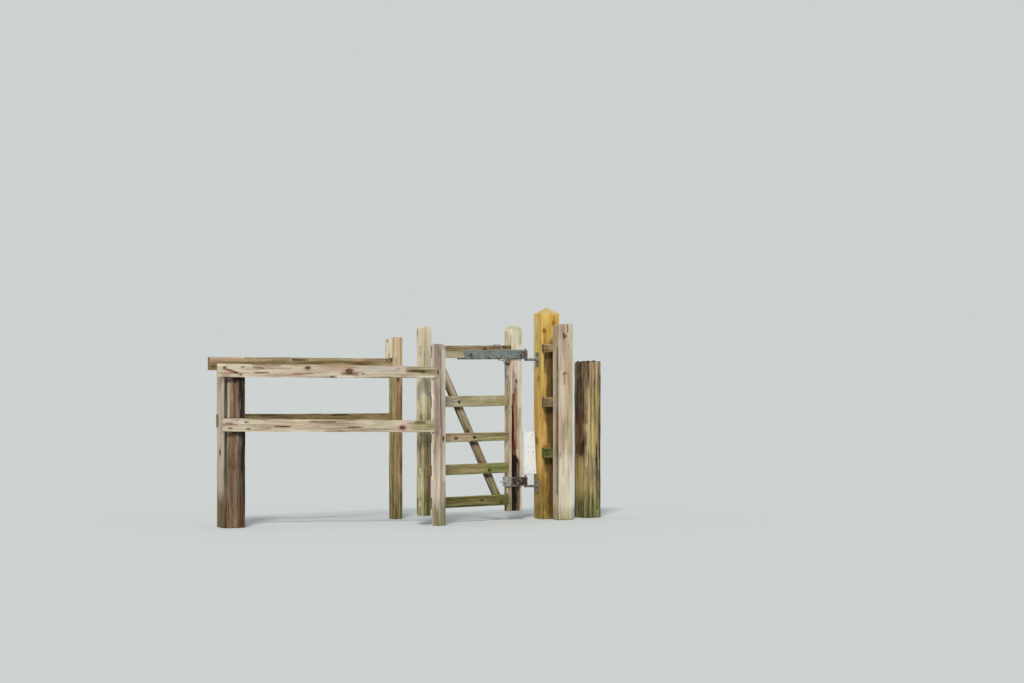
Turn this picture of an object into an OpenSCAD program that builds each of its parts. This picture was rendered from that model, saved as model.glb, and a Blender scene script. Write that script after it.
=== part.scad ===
// Wooden kissing gate: a leaf hung on a new post swings between the two shutting posts of a V-shaped pen.
// The origin is at the foot of the hanging post. +X points away from the pen, -Y faces the viewer, +Z is up.

/* [Hanging post] */
// Width of the square hanging post
hanging_w = 130; // [110:5:160]
// Height of the hanging post below its pyramid top
hanging_h = 1365; // [1320:5:1450]
// Rise of the pyramid top
pyramid_rise = 40; // [20:5:60]

/* [Grey side post] */
// Width of the square side post
side_post_w = 103; // [80:1:120]
// Height of the side post at its higher edge
side_post_h = 1300; // [1250:5:1340]
// Fall of the side post's top towards the gate
side_post_fall = 10; // [0:2:20]
// Distance of the side post's centre to the right of the hanging post's centre
side_post_shift = 47; // [30:1:60]

/* [Side rails] */
// Thickness of the short rails between the hanging post and the side post
side_rail_t = 40; // [30:1:50]
// Length of the short rails
side_rail_l = 155; // [145:1:165]
// Top edge of each short rail, from the highest down
side_rail_tops = [1164, 812, 477];
// Height of each short rail, from the highest down
side_rail_heights = [55, 65, 70];

/* [Old post] */
// Width of the square old post
old_post_w = 132; // [100:1:150]
// Height of the old post at the highest splinter of its top
old_post_h = 1055; // [1000:5:1100]
// Distance from the hanging post's centre to the old post's centre
old_post_shift = 302; // [250:1:330]
// Turn of the old post about its upright axis
old_post_turn = 7.5; // [0:0.5:15]

/* [Pen posts] */
// Distance from the pin line to the centre of the apex post
pen_length = 2053; // [1950:1:2150]
// Distance from the pin line to the centre of each shutting post
swing_radius = 870; // [860:1:880]
// Angle between the pen's centre line and each shutting post, seen from the pin line
swing_half_angle = 26; // [25.5:0.5:28]
// Width of the square apex post
apex_w = 150; // [130:5:160]
// Height of the apex post
apex_h = 1020; // [1000:5:1040]
// Width of the waney corner on the apex post's front face
apex_wane_w = 48; // [10:2:60]
// Width of the waney corner on the apex post's right face
apex_wane_t = 16; // [4:2:40]
// Width of the square front shutting post
front_shut_w = 65; // [60:1:66]
// Height of the front shutting post
front_shut_h = 1170; // [1120:5:1220]
// Turn of the front shutting post about its upright axis
front_shut_turn = 32; // [28:1:36]
// Width of the square rear shutting post
rear_shut_w = 67; // [60:1:68]
// Height of the rear shutting post
rear_shut_h = 1210; // [1160:5:1260]
// Turn of the rear shutting post about its upright axis
rear_shut_turn = 11; // [6:1:16]
// How much nearer to the pin line the rear shutting post stands than the front one
rear_shut_near = 7; // [0:1:10]
// Width of the board at the top of the rear shutting post
post_board_w = 73; // [60:1:80]
// How far the board's front edge lies behind the post's front face
post_board_set = 10; // [9:1:20]
// Thickness of the board at the top of the rear shutting post
post_board_t = 20; // [12:1:25]
// Gap between that board and the rail under it
post_board_gap = 2; // [1:1:10]

/* [Pen rails] */
// Thickness of the pen's rails
pen_rail_t = 32; // [28:1:36]
// Height of a pen rail at the apex post's right face
pen_rail_h_apex = 86; // [80:1:100]
// Height of a pen rail at the shutting post
pen_rail_h_shut = 75; // [70:1:90]
// Top edge of the front top rail at the apex post's right face
front_top_rail_z = 1042; // [1030:1:1060]
// Top edge of the front lower rail at the apex post's right face
front_lower_rail_z = 696; // [650:1:750]
// Fall of the front rails from the apex post to the shutting post
front_rail_fall = 20; // [0:1:40]
// How far the front rails' inner face lies inside the centre of the front shutting post
front_rail_set = 8; // [4:1:10]
// Thickness of the front rails' tenons in the shutting post
pen_tenon_t = 18; // [12:1:22]
// How far the rear rails' inner face lies inside the centre of the rear shutting post
rear_rail_set = 3; // [0:1:8]
// Top edge of the rear top rail at the apex post's right face
rear_top_rail_z = 1085; // [1060:1:1100]
// Top edge of the rear lower rail at the apex post's right face
rear_lower_rail_z = 720; // [680:1:760]
// Fall of the rear rails from the apex post to the shutting post
rear_rail_fall = 17; // [0:1:40]
// Length of the front top rail past the apex post
front_rail_overhang = 35; // [0:5:60]
// Length of the rear top rail past the apex post
rear_rail_overhang = 60; // [0:5:100]

/* [Gate leaf] */
// Angle of the leaf at rest from the pen's centre line, towards the front shutting post
rest_angle = 17; // [12:1:20]
// Distance from the pin line to the leaf's heel edge
eye_reach = 60; // [55:1:65]
// Length of the leaf from heel edge to free edge
leaf_l = 843; // [830:1:846]
// Thickness of the leaf's stiles
leaf_t = 74; // [65:1:76]
// Height of the leaf's foot above the ground
leaf_foot = 58; // [40:2:80]
// Height of the leaf's top above the ground
leaf_top = 1283; // [1240:1:1320]
// Width of the heel stile
heel_w = 95; // [85:1:105]
// Width of the shutting stile
shut_stile_w = 65; // [60:1:75]
// Middle height of each gate rail, from the top down
gate_rail_mids = [1115, 791, 555, 347, 135];
// Height of each gate rail, from the top down
gate_rail_heights = [82, 73, 60, 70, 73];
// Thickness of the four lower gate rails
gate_rail_t = 23; // [18:1:28]
// Distance of the four lower gate rails behind the stiles' front
gate_rail_back = 32; // [28:1:36]
// Thickness of the top gate rail's tenons
tenon_t = 24; // [16:1:30]
// Shoulder above and below each tenon
tenon_shoulder = 9; // [6:1:14]
// Width of the diagonal brace
brace_w = 62; // [55:1:80]
// Distance of the brace's middle line from the heel stile, at its foot
brace_foot_inset = 57; // [45:1:70]
// Distance of the brace's middle line from the shutting stile, at its head
brace_head_inset = 98; // [45:1:110]

/* [Split in the heel stile] */
// Height at which the split starts
split_top = 800; // [600:10:1000]
// Width of the split at the foot
split_w = 68; // [10:1:75]
// Depth of the split
split_depth = 30; // [5:1:31]
// Wood left between the split and the stile's inner arris
split_edge = 6; // [4:1:15]

/* [Ironwork] */
// Diameter of the hook pins
pin_d = 19; // [16:1:22]
// Radial clearance of the eyes on the pins
pin_clearance = 1; // [0.5:0.25:2]
// Wall of the eyes
eye_wall = 5; // [4:0.5:8]
// Thickness of the straps
strap_t = 6; // [4:0.5:8]
// Height of the straps
strap_h = 62; // [50:1:66]
// Height of the eyes
eye_h = 50; // [40:1:60]
// Side of the squares cut off the top strap's corners
strap_corner = 12; // [4:1:25]
// Middle height of the top strap
top_strap_z = 1095; // [1090:1:1110]
// Length of the top strap from the pin line
top_strap_l = 558; // [400:2:600]
// Middle height of the bottom strap
bottom_strap_z = 254; // [230:1:256]
// Distance from the hanging post's face to the pin line
pin_reach = 90; // [85:1:100]
// Diameter of the hooks' shanks
shank_d = 18; // [16:1:20]
// Height of a pin above its eye
pin_rise = 12; // [5:1:25]
// Gap between an eye and the shank under it
eye_gap = 1; // [0.5:0.5:3]
// Width of the hooks' plates
hook_plate_w = 40; // [30:1:60]
// Height of the hooks' plates
hook_plate_h = 92; // [60:2:120]
// Thickness of the hooks' plates
hook_plate_t = 6; // [4:1:10]

/* [Notice] */
// Width of the notice plate
notice_w = 122; // [100:1:125]
// Height of the notice plate
notice_h = 290; // [240:5:300]
// Thickness of the notice plate
notice_t = 3; // [2:0.5:5]
// Foot of the notice plate above the ground
notice_z = 298; // [298:1:310]
// Lean of the notice plate away from the hanging post
notice_lean = 3; // [0:0.5:3]
// Width of the batten behind the notice plate
batten_w = 45; // [30:1:60]
// Thickness of the batten
batten_t = 20; // [12:1:25]
// Distance of the notice plate behind the hanging post's middle
notice_back = 17; // [10:1:25]
// How much shorter the batten is than the plate, above and below
batten_short = 15; // [5:1:30]

/* [Hidden] */
$fn = 64;

new_pine = "#d9a441";
grey_oak = "#a39a8c";
dark_oak = "#5d5048";
galvanised = "#8b97a3";

// The pin line stands off the hanging post's left face, on the pen's centre line.
pin_x = -hanging_w / 2 - pin_reach;
apex_x = pin_x - pen_length;
shut_x = pin_x - swing_radius * cos(swing_half_angle);
shut_y = swing_radius * sin(swing_half_angle);

// Where the two shutting posts stand, as [right of the apex post's right face, out from its corner].
rear_radius = swing_radius - rear_shut_near;
rear_x = pin_x - rear_radius * cos(swing_half_angle);
rear_y = rear_radius * sin(swing_half_angle);
front_way = [shut_x - apex_x - apex_w / 2, shut_y - apex_w / 2];
rear_way = [rear_x - apex_x - apex_w / 2, rear_y - apex_w / 2];

// The inner face of a pen rail runs from the apex post's corner to a line that lies inside the centre of
// the shutting post by the rail's set. The rail turns from the pen's centre line by rail_turn, and is
// rail_run long.
function rail_turn(way, set) = atan2(way[1], way[0]) - asin(set / norm(way));
function rail_run(way, set) = sqrt(norm(way) * norm(way) - set * set);
front_turn = rail_turn(front_way, front_rail_set);
front_run = rail_run(front_way, front_rail_set);
rear_turn = rail_turn(rear_way, rear_rail_set);
rear_run = rail_run(rear_way, rear_rail_set);
tenon_inner = (pen_rail_t - pen_tenon_t) / 2;
tenon_outer = pen_rail_t - tenon_inner;

heel_far = eye_reach + heel_w;
leaf_end = eye_reach + leaf_l;
shut_near = leaf_end - shut_stile_w;
leaf_face = leaf_t / 2;
rail_rear = leaf_face - gate_rail_back - gate_rail_t;
top_rail_foot = gate_rail_mids[0] - gate_rail_heights[0] / 2;
bottom_rail_foot = gate_rail_mids[4] - gate_rail_heights[4] / 2;
eye_r = pin_d / 2 + pin_clearance + eye_wall;
side_post_y = -hanging_w / 2 - side_rail_t - side_post_w / 2;

// Outlines of worn tops, as [place across the post, height under the highest point].
old_top_across = [
    [-0.5, 12], [-0.38, 2], [-0.22, 16], [-0.08, 3], [0.08, 14], [0.22, 0], [0.36, 12], [0.5, 6]
];
old_top_through = [[-0.5, 6], [-0.25, 0], [0.1, 10], [0.3, 2], [0.5, 18]];
front_shut_top = [[-0.5, 6], [-0.1, 0], [0.5, 14]];
rear_shut_top = [[-0.5, 8], [0.1, 0], [0.5, 3]];
flat_top = [[-0.5, 0], [0.5, 0]];
shut_stile_across = [[-0.5, 18], [-0.3, 6], [0, 0], [0.35, 3], [0.5, 12]];
shut_stile_through = [[-0.5, 15], [-0.1, 4], [0.5, 0]];

// An outline in X and Z becomes a slab from y0 to y0 + t.
module slab(y0, t) {
    translate([0, y0 + t, 0])
        rotate([90, 0, 0])
            linear_extrude(t)
                children();
}

module worn_outline(w, h, top) {
    polygon(concat([[-w / 2, 0]], [for (p = top) [p[0] * w, h - p[1]]], [[w / 2, 0]]));
}

// An upright timber whose top follows one outline seen from the front and another seen from the side.
module upright(w, t, h, across, through) {
    intersection() {
        slab(-t / 2, t)
            worn_outline(w, h, across);
        rotate([0, 0, 90])
            slab(-w / 2, w)
                worn_outline(t, h, through);
    }
}

module post(w, h, across = flat_top, through = flat_top) {
    upright(w, w, h, across, through);
}

// A rail of the pen is drawn at the rear, and mirrored for the front. It lies between the distances inner
// and outer from its inner face's line, and shoulder thins it above and below. Both of its edges run on
// past the apex post at the slope that they have beside it.
module pen_bar(turn, run, top_z, fall, overhang, inner, outer, shoulder = 0) {
    start = -apex_w / cos(turn) - overhang;
    foot_z = top_z - pen_rail_h_apex;
    foot_fall = fall + pen_rail_h_shut - pen_rail_h_apex;
    translate([apex_x + apex_w / 2, apex_w / 2, 0])
        rotate([0, 0, turn])
            slab(inner, outer - inner)
                polygon([
                    [start, foot_z - foot_fall * start / run + shoulder],
                    [run, foot_z - foot_fall + shoulder],
                    [run, top_z - fall - shoulder], [start, top_z - fall * start / run - shoulder]
                ]);
}

module front_bar(top_z, overhang, inner = 0, outer = pen_rail_t, shoulder = 0) {
    mirror([0, 1, 0])
        pen_bar(front_turn, front_run, top_z, front_rail_fall, overhang, inner, outer, shoulder);
}

module rear_bar(top_z, overhang, inner = 0, outer = pen_rail_t, shoulder = 0) {
    pen_bar(rear_turn, rear_run, top_z, rear_rail_fall, overhang, inner, outer, shoulder);
}

// Each rail's tenon ends at the centre of its shutting post.
module front_tenon(top_z) {
    front_bar(top_z, 0, tenon_inner, tenon_outer, tenon_shoulder);
}

module rear_tenon(top_z) {
    rear_bar(top_z, 0, tenon_inner, tenon_outer, tenon_shoulder);
}

module front_rail(top_z, overhang) {
    difference() {
        front_bar(top_z, overhang);
        front_shutting_bar();
    }
    front_tenon(top_z);
}

module rear_rail(top_z, overhang) {
    difference() {
        rear_bar(top_z, overhang);
        rear_shutting_bar();
    }
    rear_tenon(top_z);
}

module hanging_post() {
    color(new_pine)
        post(hanging_w, hanging_h + pyramid_rise,
            [[-0.5, pyramid_rise], [0, 0], [0.5, pyramid_rise]],
            [[-0.5, pyramid_rise], [0, 0], [0.5, pyramid_rise]]);
}

module side_post() {
    color(grey_oak)
        translate([side_post_shift, side_post_y, 0])
            post(side_post_w, side_post_h, [[-0.5, side_post_fall], [0.5, 0]]);
}

module old_post() {
    color(dark_oak)
        translate([old_post_shift, 0, 0])
            rotate([0, 0, old_post_turn])
                post(old_post_w, old_post_h, old_top_across, old_top_through);
}

// The apex post has one waney corner. It is housed for the rails of both legs, and the housings are open to
// the outer sides.
module apex_post() {
    color(dark_oak)
        difference() {
            translate([apex_x, 0, 0])
                linear_extrude(apex_h)
                    polygon([
                        [-apex_w / 2, -apex_w / 2], [apex_w / 2 - apex_wane_w, -apex_w / 2],
                        [apex_w / 2, apex_wane_t - apex_w / 2], [apex_w / 2, apex_w / 2],
                        [-apex_w / 2, apex_w / 2]
                    ]);
            for (z = [front_top_rail_z, front_lower_rail_z])
                front_bar(z, apex_w, 0, apex_w);
            for (z = [rear_top_rail_z, rear_lower_rail_z])
                rear_bar(z, apex_w, 0, apex_w);
        }
}

module front_shutting_bar() {
    translate([shut_x, -shut_y, 0])
        rotate([0, 0, front_shut_turn])
            post(front_shut_w, front_shut_h, front_shut_top);
}

module front_shutting_post() {
    color(grey_oak)
        difference() {
            front_shutting_bar();
            front_tenon(front_top_rail_z);
            front_tenon(front_lower_rail_z);
        }
}

module rear_shutting_bar() {
    translate([rear_x, rear_y, 0])
        rotate([0, 0, rear_shut_turn])
            post(rear_shut_w, rear_shut_h, rear_shut_top);
}

module rear_shutting_post() {
    color(grey_oak)
        difference() {
            rear_shutting_bar();
            rear_tenon(rear_top_rail_z);
            rear_tenon(rear_lower_rail_z);
        }
}

// The board is nailed to the post's left side, from the top rail up to the post's top. Its front edge lies
// far enough back to let the leaf pass.
module rear_post_board() {
    board_foot = rear_top_rail_z - rear_rail_fall + post_board_gap;
    board_top = rear_shut_h - rear_shut_top[0][1];
    color(grey_oak)
        translate([rear_x, rear_y, 0])
            rotate([0, 0, rear_shut_turn])
                translate([-rear_shut_w / 2 - post_board_t, post_board_set - rear_shut_w / 2, board_foot])
                    cube([post_board_t, post_board_w, board_top - board_foot]);
}

module front_top_rail() {
    color(grey_oak)
        front_rail(front_top_rail_z, front_rail_overhang);
}

module front_lower_rail() {
    color(grey_oak)
        front_rail(front_lower_rail_z, 0);
}

module rear_top_rail() {
    color(grey_oak)
        rear_rail(rear_top_rail_z, rear_rail_overhang);
}

module rear_lower_rail() {
    color(grey_oak)
        rear_rail(rear_lower_rail_z, 0);
}

module side_rail(i) {
    color(grey_oak)
        translate([-hanging_w / 2, -hanging_w / 2 - side_rail_t, side_rail_tops[i] - side_rail_heights[i]])
            cube([side_rail_l, side_rail_t, side_rail_heights[i]]);
}

module side_rail_top() {
    side_rail(0);
}

module side_rail_middle() {
    side_rail(1);
}

module side_rail_bottom() {
    side_rail(2);
}

// The leaf is drawn along +X from the pin line, with its front face towards +Y, and then turned into place.
module in_leaf() {
    translate([pin_x, 0, 0])
        rotate([0, 0, 180 + rest_angle])
            children();
}

// Tenons run through both stiles and end flush with their outer edges. The mortises are cut past them.
module tenon(i, past = 0) {
    thick = i == 0 ? tenon_t : gate_rail_t;
    rear = i == 0 ? -tenon_t / 2 : rail_rear;
    translate([eye_reach - past, rear, gate_rail_mids[i] - gate_rail_heights[i] / 2 + tenon_shoulder])
        cube([leaf_l + 2 * past, thick, gate_rail_heights[i] - 2 * tenon_shoulder]);
}

module mortises() {
    for (i = [0 : 4])
        tenon(i, heel_w / 2);
}

// The top rail is as thick as the stiles. The four lower rails are thinner and lie behind the stiles' front.
module gate_rail(i) {
    thick = i == 0 ? leaf_t : gate_rail_t;
    rear = i == 0 ? -leaf_face : rail_rear;
    color(grey_oak)
        in_leaf() {
            translate([heel_far, rear, gate_rail_mids[i] - gate_rail_heights[i] / 2])
                cube([shut_near - heel_far, thick, gate_rail_heights[i]]);
            tenon(i);
        }
}

module gate_rail_top() {
    gate_rail(0);
}

module gate_rail_second() {
    gate_rail(1);
}

module gate_rail_third() {
    gate_rail(2);
}

module gate_rail_fourth() {
    gate_rail(3);
}

module gate_rail_bottom() {
    gate_rail(4);
}

// The split follows the stile's inner arris. It opens from a point, is half open to the middle, and then
// widens to its full width and runs out at the stile's foot.
module heel_split() {
    arris = heel_far - split_edge;
    drop = split_top - leaf_foot;
    slab(leaf_face - split_depth, split_depth + 1)
        polygon([
            [arris, split_top], [arris, leaf_foot - 1],
            [arris - split_w, leaf_foot - 1], [arris - split_w, leaf_foot + drop * 0.42],
            [arris - split_w * 0.6, leaf_foot + drop * 0.5], [arris - split_w * 0.36, leaf_foot + drop * 0.66],
            [arris - split_w * 0.32, leaf_foot + drop * 0.86]
        ]);
}

module heel_stile() {
    color(grey_oak)
        in_leaf()
            difference() {
                slab(-leaf_face, leaf_t)
                    union() {
                        translate([eye_reach, leaf_foot])
                            square([heel_w, leaf_top - leaf_foot - heel_w / 2]);
                        translate([eye_reach + heel_w / 2, leaf_top - heel_w / 2])
                            circle(d = heel_w);
                    }
                mortises();
                heel_split();
            }
}

module shutting_stile() {
    color(grey_oak)
        in_leaf()
            difference() {
                translate([leaf_end - shut_stile_w / 2, 0, leaf_foot])
                    upright(shut_stile_w, leaf_t, leaf_top - leaf_foot, shut_stile_across, shut_stile_through);
                mortises();
            }
}

// The brace lies behind the four lower rails, from the foot of the bottom rail up to the top rail.
module gate_brace() {
    low = [heel_far + brace_foot_inset, gate_rail_mids[4]];
    high = [shut_near - brace_head_inset, top_rail_foot];
    way = high - low;
    color(grey_oak)
        in_leaf()
            slab(-leaf_face, rail_rear + leaf_face)
                intersection() {
                    translate([heel_far, bottom_rail_foot])
                        square([shut_near - heel_far, top_rail_foot - bottom_rail_foot]);
                    translate(low)
                        rotate(atan2(way[1], way[0]))
                            translate([-leaf_t * 4, -brace_w / 2])
                                square([norm(way) + leaf_t * 8, brace_w]);
                }
}

// A strap grips the leaf with a flat on each face. Both flats bend in to the eye on the pin line.
module strap(mid_z, length) {
    bend = eye_reach - strap_t;
    for (side = [0, 1])
        mirror([0, side, 0]) {
            translate([bend, leaf_face, mid_z - strap_h / 2])
                cube([length - bend, strap_t, strap_h]);
            translate([0, 0, mid_z - eye_h / 2])
                linear_extrude(eye_h)
                    polygon([
                        [0, eye_r], [0, eye_r - eye_wall], [bend, leaf_face], [bend, leaf_face + strap_t]
                    ]);
        }
    translate([0, 0, mid_z - eye_h / 2])
        difference() {
            cylinder(r = eye_r, h = eye_h);
            translate([0, 0, -1])
                cylinder(r = pin_d / 2 + pin_clearance, h = eye_h + 2);
        }
}

module top_strap() {
    color(galvanised)
        in_leaf()
            difference() {
                strap(top_strap_z, top_strap_l);
                for (end = [-1, 1])
                    translate([top_strap_l, 0, top_strap_z + end * strap_h / 2])
                        rotate([0, 45, 0])
                            cube([strap_corner, 2 * leaf_t, strap_corner], center = true);
            }
}

// The bottom strap is a band: it closes round the heel stile's inner edge.
module bottom_strap() {
    color(galvanised)
        in_leaf() {
            strap(bottom_strap_z, heel_far + strap_t);
            translate([heel_far, -leaf_face - strap_t, bottom_strap_z - strap_h / 2])
                cube([strap_t, leaf_t + 2 * strap_t, strap_h]);
        }
}

// A hook is a plate on the hanging post, a level shank, and a pin that stands up through the eye.
module hook(strap_z) {
    shank_z = strap_z - eye_h / 2 - eye_gap - shank_d / 2;
    face_x = -hanging_w / 2;
    color(galvanised)
        union() {
            translate([face_x - hook_plate_t, -hook_plate_w / 2, shank_z - hook_plate_h / 2])
                cube([hook_plate_t, hook_plate_w, hook_plate_h]);
            translate([pin_x, 0, shank_z])
                rotate([0, 90, 0])
                    cylinder(d = shank_d, h = pin_reach - hook_plate_t / 2);
            translate([pin_x, 0, shank_z])
                sphere(d = shank_d);
            translate([pin_x, 0, shank_z])
                cylinder(d = pin_d, h = shank_d / 2 + eye_gap + eye_h + pin_rise);
        }
}

module top_hook() {
    hook(top_strap_z);
}

module bottom_hook() {
    hook(bottom_strap_z);
}

module notice_batten() {
    color(grey_oak)
        translate([-hanging_w / 2 - batten_w, notice_back + notice_t, notice_z + batten_short])
            cube([batten_w, batten_t, notice_h - 2 * batten_short]);
}

module notice_plate() {
    color("white")
        translate([-hanging_w / 2, notice_back, notice_z])
            rotate([0, -notice_lean, 0])
                translate([-notice_w, 0, 0])
                    cube([notice_w, notice_t, notice_h]);
}

hanging_post();
side_post();
old_post();
apex_post();
front_shutting_post();
rear_shutting_post();
rear_post_board();
front_top_rail();
front_lower_rail();
rear_top_rail();
rear_lower_rail();
side_rail_top();
side_rail_middle();
side_rail_bottom();
top_hook();
bottom_hook();
notice_batten();
notice_plate();
heel_stile();
shutting_stile();
gate_rail_top();
gate_rail_second();
gate_rail_third();
gate_rail_fourth();
gate_rail_bottom();
gate_brace();
top_strap();
bottom_strap();
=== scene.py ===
# %% [markdown]
# # A weathered kissing gate
# A kissing gate lets one through at a time: its leaf swings between the two shutting posts of a V-shaped pen. The
# construction has the timbers as clean solids. This lesson gives them what years outdoors do to oak: worn
# arrises, clefts, knots, stains and moss. Then come the ironwork and the fasteners.

# %% Load the construction
import math

import bpy
import numpy as np
from mathutils import Matrix, Vector


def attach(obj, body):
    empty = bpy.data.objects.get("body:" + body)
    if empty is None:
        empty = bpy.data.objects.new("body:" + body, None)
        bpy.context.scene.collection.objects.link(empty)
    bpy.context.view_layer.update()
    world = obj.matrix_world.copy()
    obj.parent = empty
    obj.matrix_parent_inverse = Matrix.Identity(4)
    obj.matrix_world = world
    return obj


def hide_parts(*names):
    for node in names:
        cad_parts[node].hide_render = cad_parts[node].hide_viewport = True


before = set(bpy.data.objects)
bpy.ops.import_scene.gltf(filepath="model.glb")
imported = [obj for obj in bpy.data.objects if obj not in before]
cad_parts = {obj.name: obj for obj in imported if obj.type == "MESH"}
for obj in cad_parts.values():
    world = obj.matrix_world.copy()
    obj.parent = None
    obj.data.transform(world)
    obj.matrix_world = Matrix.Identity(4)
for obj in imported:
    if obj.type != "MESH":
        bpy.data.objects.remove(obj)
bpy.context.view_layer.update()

# %% [markdown]
# The picture was taken with a long lens from twenty metres away, 24 degrees to the left of the gate's front, with
# the lens at chest height. A long lens keeps the far posts nearly as large as the near ones.

# %% Camera
def add(name, data):
    """A new object in the scene."""
    thing = bpy.data.objects.new(name, data)
    bpy.context.scene.collection.objects.link(thing)
    return thing


DISTANCE, EYE_HEIGHT, ASIDE = 20.0, 1.27, 0.23  # metres
FOCAL_LENGTH, PICTURE_WIDTH, LEVEL_SHIFT = 3000, 1024, 13.5  # pixels
SENSOR_WIDTH = 36.0  # millimetres
turn = math.radians(-24.0)
along_view = Vector((-math.sin(turn), math.cos(turn), 0))
to_right = Vector((math.cos(turn), math.sin(turn), 0))
lens = bpy.data.cameras.new("long_lens")
lens.sensor_width = SENSOR_WIDTH
lens.lens = SENSOR_WIDTH * FOCAL_LENGTH / PICTURE_WIDTH
lens.clip_end = 400.0
camera = add("camera", lens)
camera.location = -ASIDE * to_right - DISTANCE * along_view + Vector((0, 0, EYE_HEIGHT))
tilt = math.radians(90) - math.atan(LEVEL_SHIFT / FOCAL_LENGTH)
camera.rotation_euler = (tilt, 0, -math.atan2(along_view.x, along_view.y))
bpy.context.scene.camera = camera
print("camera:", camera.location[:], camera.rotation_euler[:])

# %% [markdown]
# Colours are noted as sRGB hex values, as a colour picker shows them. Blender works in linear light, so one
# function turns them. The others each add a shader node with its settings and links, so that every step of a
# pattern below reads as one line.

# %% Colours and shader nodes
def linear(hex_colour):
    """An sRGB hex colour as linear red, green, blue and alpha."""
    parts = [int(hex_colour[i:i + 2], 16) / 255 for i in (0, 2, 4)]
    return tuple(c / 12.92 if c <= 0.04045 else ((c + 0.055) / 1.055) ** 2.4 for c in parts) + (1.0,)


def node(tree, kind, inputs=None, out=0, **settings):
    """Adds a shader node. An input is a socket to link or a value."""
    new = tree.nodes.new("ShaderNode" + kind)
    for name, value in settings.items():
        setattr(new, name, value)
    for key, value in (inputs or {}).items():
        if isinstance(value, bpy.types.NodeSocket):
            tree.links.new(value, new.inputs[key])
        else:
            new.inputs[key].default_value = value
    return new.outputs[out]


def maths(tree, operation, *values, clamp=False):
    """Works out one thing from one, two or three values."""
    return node(tree, "Math", dict(enumerate(values)), operation=operation, use_clamp=clamp)


def spread(tree, value, low=0.0, high=1.0, to_low=0.0, to_high=1.0):
    """Lays the range from low to high over another range, and stops at its ends."""
    return node(tree, "MapRange", {0: value, 1: low, 2: high, 3: to_low, 4: to_high})


def blend(tree, amount, under, over):
    """Covers one colour with another, which is a socket or a hex colour."""
    over = linear(over) if isinstance(over, str) else over
    return node(tree, "Mix", {0: amount, 6: under, 7: over}, out=2, data_type="RGBA")


def ramp(tree, value, *stops):
    """A colour for each value. The stops are pairs of a place and a hex colour."""
    colour = node(tree, "ValToRGB", {0: value})
    elements = colour.node.color_ramp.elements
    while len(elements) < len(stops):
        elements.new(0.5)
    for element, (place, hex_colour) in zip(elements, stops):
        element.position = place
        element.color = linear(hex_colour)
    return colour


def clouds(tree, place, detail, scale=1.0, stretch=None, **more):
    """A noise. The stretch is how fine it is along the grain and across it."""
    if stretch:
        place = node(tree, "Mapping", {"Vector": place, "Scale": (stretch[0], stretch[1], stretch[1])})
    return node(tree, "TexNoise", {"Vector": place, "Scale": scale, "Detail": detail, **more})


def noted(tree, name, out="Fac"):
    """Reads one of the notes that a piece carries on its points."""
    return node(tree, "Attribute", out=out, attribute_name=name)


def blank(name):
    """A new material, its tree and its one shader."""
    material = bpy.data.materials.new(name)
    material.use_nodes = True
    return material, material.node_tree, material.node_tree.nodes["Principled BSDF"]


print("cream, linear:", [round(c, 3) for c in linear("d9c8a8")])

# %% [markdown]
# The day was bright and hazy: a soft key from high behind the viewer, and a sky that fills every shadow with a
# bluish light. The floor, and the sky as it is seen, are one pale cool grey, so that the warm timber stands out.

# %% Light and floor
haze = bpy.data.worlds.new("haze")
bpy.context.scene.world = haze
haze.use_nodes = True
sky = haze.node_tree
seen = node(sky, "LightPath", out="Is Camera Ray")
background = sky.nodes["Background"].inputs
sky.links.new(blend(sky, seen, linear("e9eef6"), "cdd1d0"), background["Color"])
sky.links.new(spread(sky, seen, to_low=0.62), background["Strength"])

key = bpy.data.lights.new("hazy_sun", "SUN")
key.energy = 2.4
key.angle = math.radians(12)
key.color = (1.0, 0.97, 0.9)
sun = add("hazy_sun", key)
sun.rotation_euler = (math.radians(44), 0, math.radians(-30))

bpy.ops.mesh.primitive_plane_add(size=300)
floor = bpy.context.object
floor.name = "floor"
matt_floor, _, skin = blank("matt_floor")
skin.inputs["Base Color"].default_value = linear("c9cdcc")
skin.inputs["Roughness"].default_value = 0.95
skin.inputs["Specular IOR Level"].default_value = 0.1
floor.data.materials.append(matt_floor)

bpy.context.scene.view_settings.view_transform = "Standard"
print("sun:", key.energy, "floor:", floor.dimensions[:2])

# %% [markdown]
# Timber is easiest to work on the bench: laid with its grain along X and its front face up. A timber could be
# started from a new box, but then every tenon, mortise and housing would have to be cut again. So a copy of the
# construction's solid is laid on the bench instead, and taken back to its place when it is finished.

# %% The bench
def pick(*pieces):
    """Selects these objects and nothing else."""
    bpy.ops.object.select_all(action="DESELECT")
    for piece in pieces:
        piece.select_set(True)
    bpy.context.view_layer.objects.active = pieces[-1]


def edit(piece, *steps):
    """Runs edit-mode operators with their settings, each on the whole mesh."""
    pick(piece)
    bpy.ops.object.mode_set(mode="EDIT")
    for operator, settings in steps:
        bpy.ops.mesh.select_all(action="SELECT")
        operator(**settings)
    bpy.ops.object.mode_set(mode="OBJECT")


def shape(piece, kind, **settings):
    """Adds one modifier with its settings and applies it."""
    pick(piece)
    step = piece.modifiers.new(kind.lower(), kind)
    for name, value in settings.items():
        setattr(step, name, value)
    bpy.ops.object.modifier_apply(modifier=step.name)


def points(piece, what="co"):
    """The piece's vertices, or their normals, as an array, one row each."""
    flat = np.zeros(len(piece.data.vertices) * 3, np.float32)
    piece.data.vertices.foreach_get(what, flat)
    return flat.reshape(-1, 3)


def own_axes(turn, roll):
    """Along the grain, across it and out of the front face. roll lifts the grain from level, 0, to upright, 90."""
    t, r = math.radians(turn), math.radians(roll)
    right, up = Vector((math.cos(t), math.sin(t), 0)), Vector((0, 0, 1))
    along = right * math.cos(r) + up * math.sin(r)
    across = up * math.cos(r) - right * math.sin(r)
    return Matrix((along, across, along.cross(across))).transposed().to_4x4()


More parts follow.
